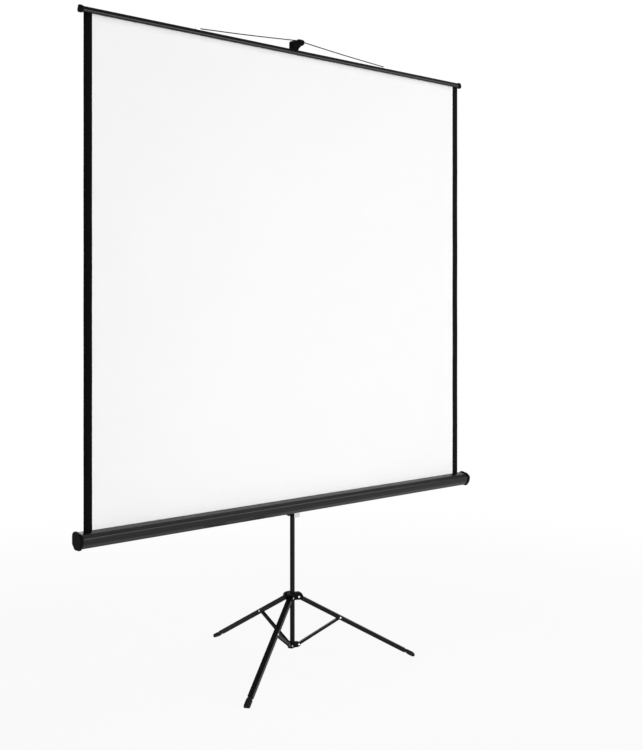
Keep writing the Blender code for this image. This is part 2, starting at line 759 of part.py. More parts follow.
def build_saddle(carrier_frame, bright):
    back, front = SADDLE_BACK_Y, SADDLE_FLANGE_Y
    ramp = SADDLE_FLAT + (back - front) * 1.2
    line = [
        (-SADDLE_HALF_WIDTH, front + SADDLE_THICKNESS),
        (-ramp, front + SADDLE_THICKNESS),
        (-SADDLE_FLAT, back),
        (SADDLE_FLAT, back),
        (ramp, front + SADDLE_THICKNESS),
        (SADDLE_HALF_WIDTH, front + SADDLE_THICKNESS),
    ]
    outline = line + list(reversed(offset(line, -SADDLE_THICKNESS, closed=False)))
    saddle = add(
        "case_saddle", prism(outline, -SADDLE_HALF_HEIGHT, SADDLE_HALF_HEIGHT, "Z"), bright, carrier_frame
    )
    tab = rounded(
        [
            (-SADDLE_TAB_LEFT, -SADDLE_TAB_DROP),
            (SADDLE_TAB_RIGHT, -SADDLE_TAB_DROP),
            (SADDLE_TAB_RIGHT, 0),
            (-SADDLE_TAB_LEFT, 0),
        ],
        0.003,
    )
    flat_tab = [(min(x, SADDLE_TAB_RIGHT), z) for x, z in tab]
    tab_shape = prism(flat_tab, back - SADDLE_THICKNESS, back, "Y")
    combine(saddle, helper("case_saddle_tab", tab_shape, carrier_frame), "UNION")
    holes = [placed(rod(BOLT_RADIUS + SEAT, -0.05, 0, 18), axis="Y")]
    for side in (-1, 1):
        holes.append(placed(rod(RIVET_RADIUS + SEAT, -0.05, 0, 12), (side * SADDLE_RIVET_X, 0, 0), "Y"))
    combine(saddle, helper("case_saddle_holes", joined(holes), carrier_frame))

    face = back - SADDLE_THICKNESS - SEAT
    bolt = turned(
        [
            (0, face - BOLT_HEAD),
            (BOLT_HEAD_RADIUS - 0.001, face - BOLT_HEAD),
            (BOLT_HEAD_RADIUS, face - BOLT_HEAD + 0.001),
            (BOLT_HEAD_RADIUS, face),
            (BOLT_RADIUS, face),
            (BOLT_RADIUS, -MAST_RADIUS - RUN - 0.0011),
            (0, -MAST_RADIUS - RUN - 0.0011),
        ],
        18,
    )
    add("swing_bolt", placed(bolt, axis="Y"), bright, carrier_frame, smooth=True)
    outer = front + SADDLE_THICKNESS + SEAT
    inner = ROLLER_Y + CASE_HALF_DEPTH - 0.001 - CASE_WALL - 0.0006
    for side, name in ((-1, "left"), (1, "right")):
        pin = turned(
            [
                (0, inner - 0.0012),
                (RIVET_HEAD_RADIUS * 0.8, inner - 0.0012),
                (RIVET_HEAD_RADIUS * 0.8, inner),
                (RIVET_RADIUS, inner),
                (RIVET_RADIUS, outer),
                (RIVET_HEAD_RADIUS, outer),
                (RIVET_HEAD_RADIUS * 0.7, outer + RIVET_HEAD_HEIGHT),
                (0, outer + RIVET_HEAD_HEIGHT),
            ],
            12,
        )
        at = (side * SADDLE_RIVET_X, 0, 0)
        add(f"saddle_rivet_{name}", placed(pin, axis="Y"), bright, carrier_frame, at, smooth=True)


def build_case(carrier_frame, metal, plastic):
    line = rounded(case_line(), CASE_ROUND, 5, closed=False)
    profile = line + list(reversed(offset(line, -CASE_WALL, closed=False)))
    at = (0, ROLLER_Y, 0)
    shape = prism(profile, -CASE_HALF_LENGTH, CASE_HALF_LENGTH, "X")
    shell = add("case_shell", shape, metal, carrier_frame, at, smooth=True)
    holes = [
        placed(rod(RIVET_RADIUS + SEAT, 0, 0.05, 12), (side * SADDLE_RIVET_X, 0, 0), "Y") for side in (-1, 1)
    ]
    combine(shell, helper("case_shell_holes", joined(holes), carrier_frame, at))

    rim = rounded(offset(case_line(), CAP_LIP), CAP_ROUND, 2)
    for side, name in ((-1, "left"), (1, "right")):
        low, high = sorted((side * CAP_START, side * (CAP_START + CAP_LENGTH)))
        cap = add(f"case_cap_{name}", prism(rim, low, high, "X"), plastic, carrier_frame, at, smooth=True)
        edge = cap.modifiers.new("edge", "BEVEL")
        edge.width = 0.003
        edge.segments = 2
        edge.limit_method = "ANGLE"
        edge.angle_limit = math.radians(60)
        inner_line = rounded(offset(case_line(), -CASE_WALL - RUN), CASE_ROUND, 2)
        low, high = sorted((side * (CAP_START - CAP_PLUG), side * (CAP_START + CAP_LENGTH / 2)))
        plug = helper(f"case_cap_{name}_plug", prism(inner_line, low, high, "X"), carrier_frame, at)
        combine(cap, plug, "UNION")
        hollow_line = rounded(offset(case_line(), -CASE_WALL - RUN - CAP_PLUG_WALL), CASE_ROUND, 2)
        low, high = sorted((side * (CAP_START - CAP_PLUG - 0.01), side * (CAP_START + CAP_LENGTH / 3)))
        hollow = helper(f"case_cap_{name}_hollow", prism(hollow_line, low, high, "X"), carrier_frame, at)
        combine(cap, hollow)
        shaft = ARBOR_RADIUS if side < 0 else IDLER_RADIUS
        low, high = sorted((side * (CAP_START - CAP_PLUG), side * (CAP_START + CAP_LENGTH / 2)))
        boss = helper(
            f"case_cap_{name}_boss", placed(rod(CAP_BOSS_RADIUS, low, high, 20), axis="X"), carrier_frame, at
        )
        combine(cap, boss, "UNION")
        low, high = sorted((side * (CAP_START - CAP_PLUG - 0.01), side * (CAP_START + CAP_LENGTH / 3)))
        bore = helper(
            f"case_cap_{name}_bore", placed(rod(shaft + SEAT, low, high, 18), axis="X"), carrier_frame, at
        )
        combine(cap, bore)


def build_roller(carrier_frame, metal, plastic, bright, cloth):
    at = (0, ROLLER_Y, 0)
    pivot = empty("roller_pivot", carrier_frame, at)
    inside = ROLLER_RADIUS - ROLLER_WALL
    shape = placed(tube(ROLLER_RADIUS, inside, -ROLLER_END, ROLLER_END), axis="X")
    add("roller_tube", shape, metal, pivot, smooth=True)
    for side, name, shaft in ((-1, "left", ARBOR_RADIUS), (1, "right", IDLER_RADIUS)):
        face = ROLLER_END + SEAT
        profile = [
            (shaft + SEAT, face + ROLLER_FLANGE),
            (shaft + SEAT, face - ROLLER_PLUG),
            (inside - SEAT, face - ROLLER_PLUG),
            (inside - SEAT, face),
            (ROLLER_RADIUS, face),
            (ROLLER_RADIUS, face + ROLLER_FLANGE),
        ]
        shape = turned([(r, side * h) for r, h in profile], TUBE_SIDES)
        add(f"roller_plug_{name}", placed(shape, axis="X"), plastic, pivot, smooth=True)

    cap_floor = CAP_START + CAP_LENGTH / 3 - SEAT
    start = -cap_floor
    end = start + ARBOR_LENGTH
    arbor = turned(
        [
            (0, start),
            (ARBOR_RADIUS, start),
            (ARBOR_RADIUS, end - ARBOR_DISC),
            (ARBOR_DISC_RADIUS, end - ARBOR_DISC),
            (ARBOR_DISC_RADIUS, end),
            (0, end),
        ],
        18,
    )
    add("spring_arbor", placed(arbor, axis="X"), bright, carrier_frame, at, smooth=True)
    idler = rod(IDLER_RADIUS, ROLLER_END - ROLLER_PLUG / 2, cap_floor, 18)
    add("idler_pin", placed(idler, axis="X"), bright, carrier_frame, at, smooth=True)
    build_spring(pivot, bright, -ROLLER_END - SEAT + ROLLER_PLUG, end - ARBOR_DISC)
    build_roll(pivot, cloth)


def build_spring(pivot, bright, low, high):
    """A torsion spring along the arbor, from the left plug to the arbor's disc."""
    lead = 2 * SPRING_WIRE
    first, last = low + SPRING_WIRE + SEAT, high - SPRING_WIRE - SEAT
    points = [(low + SEAT, SPRING_RADIUS, 0)]
    steps = SPRING_TURNS * 8
    for k in range(steps + 1):
        a = 2 * math.pi * SPRING_TURNS * k / steps
        x = first + lead + (last - first - 2 * lead) * k / steps
        points.append((x, SPRING_RADIUS * math.cos(a), SPRING_RADIUS * math.sin(a)))
    points.append((high - SEAT, SPRING_RADIUS, 0))
    pitch = (last - first - 2 * lead) / SPRING_TURNS
    print(f"roller spring: least gap to itself {1000 * (pitch - 2 * SPRING_WIRE):.2f} mm")
    wire(points, "roller_spring", SPRING_WIRE, 1, bright, pivot)


def wire(points, name, radius, resolution, finish, parent):
    curve = bpy.data.curves.new(name, "CURVE")
    curve.dimensions = "3D"
    curve.bevel_depth = radius
    curve.bevel_resolution = resolution
    curve.use_fill_caps = True
    spline = curve.splines.new("POLY")
    spline.points.add(len(points) - 1)
    for point, at in zip(spline.points, points):
        point.co = (*at, 1)
    curve.materials.append(finish)
    made = bpy.data.objects.new(name, curve)
    made.parent = parent
    bpy.context.scene.collection.objects.link(made)
    return made


def build_roll(pivot, cloth):
    """The cloth that stays on the roller, ending where the hung sheet leaves it."""
    steps = round(ROLL_TURNS * 30)
    last = -math.asin(SEAT / ROLL_RADIUS)
    middle = []
    for k in range(steps + 1):
        turn = ROLL_TURNS * (1 - k / steps)
        a = last - 2 * math.pi * turn
        middle.append(((ROLL_RADIUS - ROLL_PITCH * turn), a))
    half = CLOTH_THICKNESS / 2
    outer = [((r + half) * math.cos(a), (r + half) * math.sin(a)) for r, a in middle]
    inner = [((r - half) * math.cos(a), (r - half) * math.sin(a)) for r, a in middle]
    shape = prism(outer + inner[::-1], -CLOTH_WIDTH / 2, CLOTH_WIDTH / 2, "X")
    print(f"cloth roll: least gap to itself {1000 * (ROLL_PITCH - CLOTH_THICKNESS):.2f} mm")
    add("cloth_roll", shape, cloth, pivot, smooth=True)


def build_cloth(carrier_frame, white, black):
    """The hung sheet: white with a black border down each side, black behind."""
    height = CASE_RISE + CLOTH_HEIGHT + CLOTH_ROD_HEIGHT - CLOTH_ROD_RADIUS - SEAT
    half = CLOTH_WIDTH / 2
    columns = [-half, -half + CLOTH_BORDER, half - CLOTH_BORDER, half]
    shape = bmesh.new()
    rows = [[shape.verts.new((x, -CLOTH_THICKNESS / 2, z)) for x in columns] for z in (0, height)]
    for i in range(3):
        face = shape.faces.new((rows[0][i], rows[0][i + 1], rows[1][i + 1], rows[1][i]))
        face.material_index = 0 if i == 1 else 1
    grown = bmesh.ops.extrude_face_region(shape, geom=list(shape.faces))["geom"]
    moved = [item for item in grown if isinstance(item, bmesh.types.BMVert)]
    for item in grown:
        if isinstance(item, bmesh.types.BMFace):
            item.material_index = 1
    bmesh.ops.translate(shape, verts=moved, vec=(0, CLOTH_THICKNESS, 0))
    bmesh.ops.recalc_face_normals(shape, faces=shape.faces)
    add("screen_cloth", shape, [white, black], carrier_frame, (0, -CLOTH_OFFSET, 0))


def build_top(top_frame, steel, metal, plastic, cord, bright):
    """What moves with the extension: tube, hook, top bar, lugs and cord. The frame is at the bar's foot."""
    bottom = MAST_TOP - EXTENSION_OVERLAP - BAR_Z
    end = HOOK_TOP_Z - HOOK_ROOF - SEAT - BAR_Z
    add(
        "extension_tube",
        tube(EXTENSION_RADIUS, EXTENSION_RADIUS - EXTENSION_WALL, bottom, end),
        steel,
        top_frame,
        smooth=True,
    )
    build_hook(top_frame, plastic)

    at = (0, -CLOTH_OFFSET, 0)
    line = rounded(bar_line(), 0.002, 2, closed=False)
    profile = line + list(reversed(offset(line, BAR_WALL, closed=False)))
    add("top_bar", prism(profile, -BAR_HALF_LENGTH, BAR_HALF_LENGTH, "X"), metal, top_frame, at, smooth=True)
    rim = rounded(offset(bar_line(), -BAR_CAP_LIP), 0.005, 2)
    rod_end = BAR_HALF_LENGTH - BAR_PLUG - 0.002
    for side, name in ((-1, "left"), (1, "right")):
        low, high = sorted((side * (BAR_HALF_LENGTH + SEAT), side * (BAR_HALF_LENGTH + BAR_CAP_LENGTH)))
        cap = add(f"bar_cap_{name}", prism(rim, low, high, "X"), plastic, top_frame, at, smooth=True)
        edge = cap.modifiers.new("edge", "BEVEL")
        edge.width = 0.0025
        edge.segments = 2
        edge.limit_method = "ANGLE"
        edge.angle_limit = math.radians(60)
        plug_end = BAR_HALF_LENGTH + BAR_CAP_LENGTH / 2
        low, high = sorted((side * (BAR_HALF_LENGTH - BAR_PLUG), side * plug_end))
        plug_half = BAR_CROWN_HALF - BAR_WALL - RUN
        plug = block((low, -plug_half, BAR_SHOULDER_HEIGHT), (high, plug_half, BAR_CROWN_HEIGHT - RUN))
        combine(cap, helper(f"bar_cap_{name}_plug", plug, top_frame, at), "UNION")
    shape = placed(rod(CLOTH_ROD_RADIUS, -rod_end, rod_end, 14), (0, 0, CLOTH_ROD_HEIGHT), "X")
    add("cloth_rod", shape, bright, top_frame, at, smooth=True)

    half = LUG_LENGTH / 2
    outline = rounded(
        [
            (-half, BAR_HEIGHT + SEAT),
            (half, BAR_HEIGHT + SEAT),
            (half, BAR_HEIGHT + LUG_HEIGHT / 3),
            (half / 2, BAR_HEIGHT + LUG_HEIGHT),
            (-half, BAR_HEIGHT + LUG_HEIGHT),
        ],
        0.0012,
        2,
    )
    hole_z = BAR_HEIGHT + LUG_HOLE_HEIGHT
    for side, name in ((-1, "left"), (1, "right")):
        flipped = [(-side * x, z) for x, z in outline]
        centre = (side * LUG_X, -CLOTH_OFFSET, 0)
        lug = add(
            f"cord_lug_{name}", prism(flipped, -LUG_WIDTH / 2, LUG_WIDTH / 2, "Y"), bright, top_frame, centre
        )
        low, high = sorted((-side * (half + 0.01), -side * (half - LUG_HOLE_DEPTH)))
        hole = placed(rod(CORD_RADIUS + 0.0006, low, high, 12), (0, 0, hole_z), "X")
        combine(lug, helper(f"cord_lug_{name}_hole", hole, top_frame, centre))
    build_cord(top_frame, cord, hole_z)


def build_hook(top_frame, plastic):
    """A turned socket on the tube's head and a forward arm with a notch over the top bar."""
    top = HOOK_TOP_Z - BAR_Z
    bore = EXTENSION_RADIUS + SEAT
    low = BAR_HEIGHT - HOOK_SKIRT
    socket = turned(
        [
            (0, top - HOOK_ROOF),
            (bore, top - HOOK_ROOF),
            (bore, low),
            (HOOK_BASE_RADIUS - 0.001, low),
            (HOOK_BASE_RADIUS, low + 0.002),
            (HOOK_BASE_RADIUS, top - 0.005),
            (HOOK_BASE_RADIUS - 0.004, top - 0.0005),
            (0, top),
        ],
        TUBE_SIDES,
    )
    hook = add("cord_hook", socket, plastic, top_frame, smooth=True)
    notch = CLOTH_OFFSET
    gap = HOOK_NOTCH_WIDTH / 2
    floor = top - HOOK_NOTCH_DEPTH
    outline = [
        (-bore - 0.001, BAR_HEIGHT - 0.004),
        (-bore - 0.001, top - 0.001),
        (-notch + gap + 0.003, top - 0.001),
        (-notch + gap, floor + 0.003),
        (-notch + gap - 0.001, floor),
        (-notch - gap + 0.001, floor),
        (-notch - gap, floor + 0.003),
        (-notch - gap - 0.002, top),
        (-HOOK_REACH + 0.012, top - 0.002),
        (-HOOK_REACH + 0.003, top - 0.008),
        (-HOOK_REACH, top - 0.015),
        (-HOOK_REACH + 0.003, top - 0.022),
        (-HOOK_REACH + 0.010, top - 0.026),
        (-HOOK_REACH + 0.020, top - 0.026),
        (-HOOK_REACH + 0.029, top - 0.030),
        (-HOOK_REACH + 0.037, BAR_HEIGHT + 0.008),
        (-HOOK_REACH + 0.042, BAR_HEIGHT + 0.001),
    ]
    arm = prism(outline, -HOOK_HALF_WIDTH, HOOK_HALF_WIDTH, "X")
    combine(hook, helper("cord_hook_arm", arm, top_frame), "UNION")


def build_cord(top_frame, cord, hole_z):
    """The hanging cord: from lug to lug over the hook's notch, a little slack on each side."""
    top = CORD_TOP_Z - BAR_Z
    ends = LUG_X - LUG_LENGTH / 2 + LUG_HOLE_DEPTH - 0.001
    seat = HOOK_HALF_WIDTH + 0.004
    points = []
    steps = 16
    for k in range(steps + 1):
        t = k / steps
        x = -ends + (ends - seat) * t
        z = hole_z + (top - hole_z) * t - CORD_SAG * math.sin(math.pi * t)
        points.append((x, -CLOTH_OFFSET, z))
    points += [(-x, y, z) for x, y, z in reversed(points)]
    wire(points, "hanging_cord", CORD_RADIUS, 2, cord, top_frame)


def centre_on_floor(stand):
    """Moves the stand so that the origin is on the floor, under the middle of its outline."""
    bpy.context.view_layer.update()
    graph = bpy.context.evaluated_depsgraph_get()
    low, high = [math.inf] * 2, [-math.inf] * 2
    for item in bpy.context.scene.objects:
        if item.type not in ("MESH", "CURVE") or item.hide_render:
            continue
        ready = item.evaluated_get(graph)
        for corner in ready.to_mesh().vertices:
            at = ready.matrix_world @ corner.co
            low = [min(a, b) for a, b in zip(low, at)]
            high = [max(a, b) for a, b in zip(high, at)]
        ready.to_mesh_clear()
    stand.location = (-(low[0] + high[0]) / 2, -(low[1] + high[1]) / 2, 0)
    bpy.context.view_layer.update()


def main():
    for item in list(bpy.data.objects):
        bpy.data.objects.remove(item, do_unlink=True)
    black_steel = material("black_painted_steel", (0.012, 0.012, 0.013), 0.38)
    case_metal = material("black_painted_case", (0.016, 0.016, 0.017), 0.42)
    plastic = material("black_plastic", (0.014, 0.014, 0.015), 0.5)
    rubber = material("black_rubber", (0.018, 0.018, 0.018), 0.8)
    bright = material("zinc_plated_steel", (0.62, 0.62, 0.63), 0.35, 1.0)
    roller_metal = material("roller_steel", (0.5, 0.5, 0.52), 0.4, 1.0)
    white = material("white_screen_cloth", (0.83, 0.83, 0.83), 0.9)
    black = material("black_screen_border", (0.01, 0.01, 0.01), 0.85)
    cord = material("grey_cord", (0.05, 0.05, 0.055), 0.7)

    stand = empty("stand")
    build_mast(stand, black_steel, plastic)
    build_tripod(stand, black_steel, plastic, rubber, bright)
    carrier_frame = empty("carrier_slide", stand, (0, 0, ROLLER_Z))
    build_carrier(carrier_frame, plastic, bright)
    build_case(carrier_frame, case_metal, plastic)
    build_roller(carrier_frame, roller_metal, plastic, bright, black)
    build_cloth(carrier_frame, white, black)
    top_frame = empty("extension_slide", carrier_frame, (0, 0, BAR_Z - ROLLER_Z))
    build_top(top_frame, black_steel, case_metal, plastic, cord, bright)
    centre_on_floor(stand)


main()
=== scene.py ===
import json
import math

import bmesh
import bpy
from mathutils import Matrix, Vector


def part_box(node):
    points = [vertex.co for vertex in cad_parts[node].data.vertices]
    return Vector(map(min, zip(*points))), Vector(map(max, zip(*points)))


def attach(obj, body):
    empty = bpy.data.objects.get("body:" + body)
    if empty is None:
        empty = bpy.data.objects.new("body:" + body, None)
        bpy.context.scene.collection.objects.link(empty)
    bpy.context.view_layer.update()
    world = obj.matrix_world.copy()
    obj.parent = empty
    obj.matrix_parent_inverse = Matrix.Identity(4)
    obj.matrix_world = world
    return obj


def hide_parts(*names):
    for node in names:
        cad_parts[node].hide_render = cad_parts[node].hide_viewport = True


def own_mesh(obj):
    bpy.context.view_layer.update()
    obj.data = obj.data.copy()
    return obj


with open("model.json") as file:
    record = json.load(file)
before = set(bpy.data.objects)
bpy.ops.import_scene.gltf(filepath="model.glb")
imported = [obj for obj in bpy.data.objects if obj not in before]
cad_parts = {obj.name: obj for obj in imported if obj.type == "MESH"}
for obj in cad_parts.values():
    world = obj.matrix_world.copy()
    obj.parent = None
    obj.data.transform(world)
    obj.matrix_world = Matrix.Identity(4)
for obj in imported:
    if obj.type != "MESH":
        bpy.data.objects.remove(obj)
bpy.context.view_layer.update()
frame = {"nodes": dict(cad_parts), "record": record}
nodes = frame["nodes"]
slotOf = {part["node"]: part["material_slot"] for part in frame["record"]["subparts"]}
bodyOf = {n: body for body, members in frame["record"]["behaviour"]["bodies"].items() for n in members}
print("frame loaded:", len(nodes), "CAD nodes")

mastLow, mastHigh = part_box("mast_tube")
mastX, mastY = [(mastLow[i] + mastHigh[i]) / 2 for i in (0, 1)]  # the mast's axis in plan
legAngles = {"rear": 90, "left": 210, "right": 330}  # degrees in plan

# camera, as the photograph was taken: level, at eye height, left of the screen
camera = {
    "place": (-3.058, -3.624, 1.507),
    "turn": 42.66,  # degrees to the right of straight ahead
    "focal": 1109.0,  # pixels
    "horizon": 304.4,  # pixel row
    "image": (642, 750),
    "reach": 100,  # metres
}


def placeObject(name, data):
    made = bpy.data.objects.new(name, data)
    bpy.context.scene.collection.objects.link(made)
    return made


def makeCamera():
    data = bpy.data.cameras.new("photoCamera")
    data.lens = camera["focal"] * data.sensor_width / max(camera["image"])
    data.shift_y = -(camera["image"][1] / 2 - camera["horizon"]) / max(camera["image"])
    data.clip_end = camera["reach"]
    made = placeObject("photoCamera", data)
    made.location = camera["place"]
    made.rotation_euler = (math.pi / 2, 0, -math.radians(camera["turn"]))
    bpy.context.scene.camera = made


makeCamera()
print("camera placed")


def linear(hexColour):
    parts = [int(hexColour[i : i + 2], 16) / 255 for i in (1, 3, 5)]
    return (*[p / 12.92 if p <= 0.04045 else ((p + 0.055) / 1.055) ** 2.4 for p in parts], 1)


def perMetre(millimetres):
    return 1000.0 / millimetres  # a texture's scale for a pattern of that size


def addNode(tree, kind, values=None, links=None, **settings):
    node = tree.nodes.new(kind)
    for key, value in settings.items():
        setattr(node, key, value)
    for key, value in (values or {}).items():
        node.inputs[key].default_value = value
    for key, socket in (links or {}).items():
        tree.links.new(socket, node.inputs[key])
    return node


def addNoise(tree, place, size, detail, roughness=0.5):
    values = {"Scale": perMetre(size), "Detail": detail, "Roughness": roughness}
    return addNode(tree, "ShaderNodeTexNoise", values, {"Vector": place}).outputs["Fac"]


def addCells(tree, place, size):
    return addNode(tree, "ShaderNodeTexVoronoi", {"Scale": perMetre(size)}, {"Vector": place}).outputs


bandTurn = 20  # radians a unit at scale 1; bands along the diagonal turn half as fast


def addBands(tree, place, size, distortion, direction):
    values = {"Scale": perMetre(size) / bandTurn, "Distortion": distortion}
    bands = addNode(tree, "ShaderNodeTexWave", values, {"Vector": place}, bands_direction=direction)
    return bands.outputs["Fac"]


def addStretch(tree, place, along):
    values = {"Scale": (along, 1, 1)}  # a pattern drawn out along X
    return addNode(tree, "ShaderNodeMapping", values, {"Vector": place}).outputs["Vector"]


def addMath(tree, operation, first, second):
    return addNode(tree, "ShaderNodeMath", links={0: first, 1: second}, operation=operation).outputs["Value"]


def addRange(tree, value, to, source=(0, 1), **settings):
    values = {"From Min": source[0], "From Max": source[1], "To Min": to[0], "To Max": to[1]}
    return addNode(tree, "ShaderNodeMapRange", values, {"Value": value}, **settings).outputs["Result"]


def addBlend(tree, share, first, second):
    mix = addNode(tree, "ShaderNodeMix", {7: linear(second)}, {0: share}, data_type="RGBA")
    if isinstance(first, str):  # a colour mix has its share at 0, its colours at 6 and 7 and its result at 2
        mix.inputs[6].default_value = linear(first)
    else:
        tree.links.new(first, mix.inputs[6])
    return mix.outputs[2]


def addRelief(tree, height, relief):
    values = {"Strength": relief[0], "Distance": relief[1]}
    return addNode(tree, "ShaderNodeBump", values, {"Height": height}).outputs["Normal"]


def addWear(tree, place, finish):
    edge = addNode(tree, "ShaderNodeAttribute", attribute_name="edgeWear").outputs["Fac"]
    patch = addNoise(tree, place, finish["rub"], finish["rubDetail"])
    broken = addRange(tree, patch, finish["rubShare"], finish["rubRange"])
    return addMath(tree, "MULTIPLY", edge, broken)


def startMaterial(name, values):
    made = bpy.data.materials.new(name)
    made.use_nodes = True
    tree = made.node_tree
    tree.nodes.clear()
    shader = addNode(tree, "ShaderNodeBsdfPrincipled", values)
    addNode(tree, "ShaderNodeOutputMaterial", links={"Surface": shader.outputs["BSDF"]})
    place = addNode(tree, "ShaderNodeTexCoord").outputs["Object"]
    return made, tree, shader, place


def connect(tree, shader, colour=None, roughness=None, normal=None):
    for name, socket in (("Base Color", colour), ("Roughness", roughness), ("Normal", normal)):
        if socket:
            tree.links.new(socket, shader.inputs[name])


# in each finish the patterns' sizes are in mm, and a relief is its strength and its depth in metres
noiseMiddle = (0.3, 0.7)  # the part of a noise's range where most of it lies

# powder-coated steel: baked satin black with a fine orange peel, rubbed a little lighter along its edges
powderFinish = {
    "deep": "#08080a",
    "dusty": "#0e0e0f",
    "rubbed": "#303032",
    "peel": 1.1,
    "dust": 26,
    "rub": 7,
    "rubDetail": 4.0,
    "rubShare": (0, 0.8),
    "rubRange": (0.45, 0.7),
    "roughness": (0.35, 0.4),
    "relief": (0.16, 0.00005),
}


def powderCoat():
    made, tree, shader, place = startMaterial("powderCoatedSteel", {"IOR": 1.5, "Specular IOR Level": 0.12})
    peel = addNoise(tree, place, powderFinish["peel"], detail=3.0)
    dust = addNoise(tree, place, powderFinish["dust"], detail=6.0, roughness=0.65)
    paint = addBlend(tree, dust, powderFinish["deep"], powderFinish["dusty"])
    worn = addWear(tree, place, powderFinish)
    colour = addBlend(tree, worn, paint, powderFinish["rubbed"])
    satin = addRange(tree, dust, powderFinish["roughness"], noiseMiddle)
    connect(tree, shader, colour, satin, addRelief(tree, peel, powderFinish["relief"]))
    return made


# extruded aluminium, enamelled black: faint draw lines along the case and the bar under a thin clear gloss
enamelFinish = {
    "deep": "#0a0a0b",
    "lighter": "#161618",
    "line": 2.4,
    "stretch": 0.02,
    "peel": 0.9,
    "roughness": (0.36, 0.46),
    "relief": (0.12, 0.00004),
}


def caseEnamel():
    values = {"IOR": 1.5, "Specular IOR Level": 0.05, "Coat Weight": 0.45, "Coat Roughness": 0.12}
    made, tree, shader, place = startMaterial("enamelledExtrusion", values)
    along = addStretch(tree, place, enamelFinish["stretch"])
    drawn = addNoise(tree, along, enamelFinish["line"], detail=4.0)
    peel = addNoise(tree, place, enamelFinish["peel"], detail=2.0)
    colour = addBlend(tree, drawn, enamelFinish["deep"], enamelFinish["lighter"])
    gloss = addRange(tree, drawn, enamelFinish["roughness"], noiseMiddle)
    connect(tree, shader, colour, gloss, addRelief(tree, peel, enamelFinish["relief"]))
    return made


# injection-moulded nylon: matt black with a spark-eroded grain, paler where hands and tables touch its edges
nylonFinish = {
    "deep": "#09090a",
    "lighter": "#0f0f10",
    "scuffed": "#2a2a2c",
    "grain": 0.7,
    "cloud": 14,
    "rub": 5,
    "rubDetail": 5.0,
    "rubShare": (0, 0.7),
    "rubRange": (0.45, 0.75),
    "roughness": (0.58, 0.66),
    "relief": (0.2, 0.00005),
}


def mouldedNylon():
    made, tree, shader, place = startMaterial("mouldedNylon", {"IOR": 1.53, "Specular IOR Level": 0.04})
    grain = addCells(tree, place, nylonFinish["grain"])["Distance"]
    cloud = addNoise(tree, place, nylonFinish["cloud"], detail=5.0)
    plain = addBlend(tree, cloud, nylonFinish["deep"], nylonFinish["lighter"])
    worn = addWear(tree, place, nylonFinish)
    colour = addBlend(tree, worn, plain, nylonFinish["scuffed"])
    matt = addRange(tree, cloud, nylonFinish["roughness"], noiseMiddle)
    connect(tree, shader, colour, matt, addRelief(tree, grain, nylonFinish["relief"]))
    return made


# moulded rubber: dull black, greyed by the floor in places
rubberFinish = {
    "clean": "#0e0e0e",
    "scuffed": "#2c2c2b",
    "scuff": 6,
    "scuffRange": (0.45, 0.8),
    "pores": 0.6,
    "roughness": (0.66, 0.86),
    "relief": (0.3, 0.00008),
}


def feetRubber():
    made, tree, shader, place = startMaterial("mouldedRubber", {"IOR": 1.52, "Specular IOR Level": 0.2})
    scuff = addNoise(tree, place, rubberFinish["scuff"], detail=8.0, roughness=0.7)
    pores = addNoise(tree, place, rubberFinish["pores"], detail=2.0)
    share = addRange(tree, scuff, (0, 1), rubberFinish["scuffRange"])
    colour = addBlend(tree, share, rubberFinish["clean"], rubberFinish["scuffed"])
    dull = addRange(tree, scuff, rubberFinish["roughness"])
    connect(tree, shader, colour, dull, addRelief(tree, pores, rubberFinish["relief"]))
    return made


# zinc-plated steel: bright and a little cloudy, with fine drawing lines
zincFinish = {
    "dull": "#b4b6b9",
    "bright": "#e6e7e8",
    "cloud": 3.5,
    "line": 0.4,
    "stretch": 0.05,
    "roughness": (0.2, 0.42),
    "relief": (0.1, 0.00002),
}


def zincPlate():
    made, tree, shader, place = startMaterial("zincPlatedSteel", {"Metallic": 1.0})
    cloud = addNoise(tree, place, zincFinish["cloud"], detail=5.0)
    along = addStretch(tree, place, zincFinish["stretch"])
    drawn = addNoise(tree, along, zincFinish["line"], detail=2.0)
    colour = addBlend(tree, cloud, zincFinish["dull"], zincFinish["bright"])
    gloss = addRange(tree, cloud, zincFinish["roughness"])
    connect(tree, shader, colour, gloss, addRelief(tree, drawn, zincFinish["relief"]))
    return made


# hot-dip galvanised tube: grey metal with its crystal spangle
galvanisedFinish = {"dark": "#9fa1a4", "light": "#cccdcf", "spangle": 9, "roughness": (0.32, 0.5)}


def galvanisedTube():
    made, tree, shader, place = startMaterial("galvanisedSteel", {"Metallic": 1.0})
    spangle = addCells(tree, place, galvanisedFinish["spangle"])["Color"]
    colour = addBlend(tree, spangle, galvanisedFinish["dark"], galvanisedFinish["light"])
    connect(tree, shader, colour, addRange(tree, spangle, galvanisedFinish["roughness"]))
    return made


# coated screen cloth: a woven ground under a matt coat, printed black along its sides and coated black behind
clothFinish = {
    "face": {"deep": "#f8f8f8", "pale": "#fbfbfb", "roughness": 0.92, "shine": 0.1},
    "border": {"deep": "#070707", "pale": "#0d0d0d", "roughness": 0.8, "shine": 0.06},
    "back": {"deep": "#0e0e0f", "pale": "#161617", "roughness": 0.74, "shine": 0.14},
    "names": {"face": "mattWhiteScreenCoat", "border": "blackPrintedBorder", "back": "blackCoatedBack"},
    "thread": 1.2,  # draws threads 7.5 mm apart, coarser than real ones, so that they show close up
    "distortion": 0.4,
    "coat": 340,
    "relief": (0.1, 0.00005),
}


